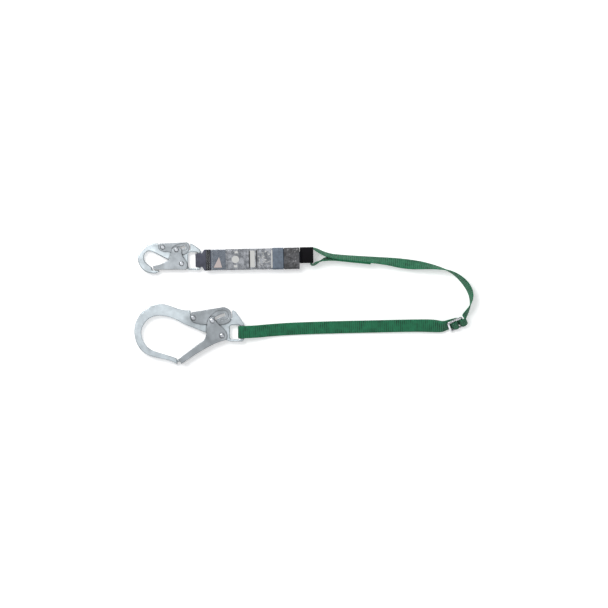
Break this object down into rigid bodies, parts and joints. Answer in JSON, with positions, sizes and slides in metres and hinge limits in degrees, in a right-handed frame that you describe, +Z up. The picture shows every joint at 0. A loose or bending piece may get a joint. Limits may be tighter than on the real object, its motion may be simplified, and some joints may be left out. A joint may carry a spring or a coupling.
{
  "type": "shock absorbing lanyard",
  "caption": "Fall-arrest lanyard: tear-webbing shock pack with a snap hook, and an adjustable webbing strap with a slide buckle and a wide rebar hook.",
  "frame": {"origin": "under the middle of the box round the two hooks and the shock pack, on the surface that they lie on", "axes": "+X along the pack from the small hook towards the strap, +Y from the large hook towards the pack, +Z up"},
  "size_m": [0.6936, 0.2499, 0.0322],
  "materials": {
    "forged_zinc": "zinc plated forging, satin, faint blue cast",
    "stamped_zinc": "zinc plated folded sheet, satin",
    "rivet_steel": "domed steel rivet, satin",
    "spring_steel": "drawn spring wire and leaf",
    "buckle_steel": "bright plated slide",
    "green_webbing": "woven polyester strap with ribbed weave",
    "pack_webbing": "dark blue-grey woven strap",
    "sleeve_fabric": "slate grey woven wear sleeve",
    "clear_film": "clear shrink film, glossy and slightly wrinkled",
    "label_sheet": null,
    "band_plastic": "blue-grey glossy band",
    "wrap_plastic": "dark wrinkled shrink wrap",
    "cover_fabric": "black coated fabric cover",
    "thread": "sewing thread"
  },
  "bodies": {
    "webbing": {"harness_loop": "pack_webbing", "wear_sleeve": "sleeve_fabric", "sleeve_stitching": "thread", "tear_webbing": "pack_webbing", "backup_webbing": "pack_webbing", "pack_film": "clear_film", "label_wrap": "label_sheet", "pack_band": "band_plastic", "end_wrap": "wrap_plastic", "pack_end_loop": "pack_webbing", "end_cover": "cover_fabric", "upper_strap": "green_webbing", "pack_loop_tail": "green_webbing", "lower_strap_return": "green_webbing", "lower_strap_front": "green_webbing", "buckle_tail": "green_webbing", "loop_bar_tacks": "thread", "buckle_bar_tacks": "thread", "buckle_frame": "buckle_steel"},
    "small_hook": {"small_hook_body": "forged_zinc", "small_gate_pivot": "rivet_steel", "small_lock_pivot": "rivet_steel", "small_gate_spring": "spring_steel", "small_lock_spring": "spring_steel"},
    "small_gate": {"small_gate": "stamped_zinc", "small_lock_pin": "rivet_steel"},
    "small_lock": {"small_lock_lever": "stamped_zinc"},
    "large_hook": {"large_hook_body": "forged_zinc", "large_gate_pivot": "rivet_steel", "large_lock_pivot": "rivet_steel", "large_gate_spring": "spring_steel", "large_lock_spring": "spring_steel"},
    "large_gate": {"large_gate": "stamped_zinc", "large_lock_pin": "rivet_steel"},
    "large_lock": {"large_lock_lever": "stamped_zinc"}
  },
  "joints": [
    {"name": "small_hook_swing", "type": "hinge", "parent": "webbing", "child": "small_hook", "pos_m": [-0.0506, 0.0883, 0.009], "axis": [0, 1, 0], "range_deg": [0, 75]},
    {"name": "small_gate_open", "type": "hinge", "parent": "small_hook", "child": "small_gate", "pos_m": [-0.0867, 0.0811, 0.009], "axis": [0, 0, -1], "range_deg": [0, 30], "stiffness_Nm_per_rad": 0.15, "springref_deg": -28.65},
    {"name": "small_lock_press", "type": "hinge", "parent": "small_hook", "child": "small_lock", "pos_m": [-0.1254, 0.1145, 0.009], "axis": [0, 0, -1], "range_deg": [0, 5.5]},
    {"name": "large_hook_swing", "type": "hinge", "parent": "webbing", "child": "large_hook", "pos_m": [0.03785, -0.05885, 0.0104], "axis": [0, 1, 0], "range_deg": [0, 75]},
    {"name": "large_gate_open", "type": "hinge", "parent": "large_hook", "child": "large_gate", "pos_m": [-0.0039, -0.0661, 0.0104], "axis": [0, 0, -1], "range_deg": [0, 40], "stiffness_Nm_per_rad": 0.25, "springref_deg": -28.65},
    {"name": "large_lock_press", "type": "hinge", "parent": "large_hook", "child": "large_lock", "pos_m": [-0.0627, -0.03, 0.0104], "axis": [0, 0, -1], "range_deg": [0, 6.1]}
  ],
  "couplings": [
    {"joint": "small_lock_press", "follows": "small_gate_open", "ratio": 0.18},
    {"joint": "large_lock_press", "follows": "large_gate_open", "ratio": 0.15}
  ]
}
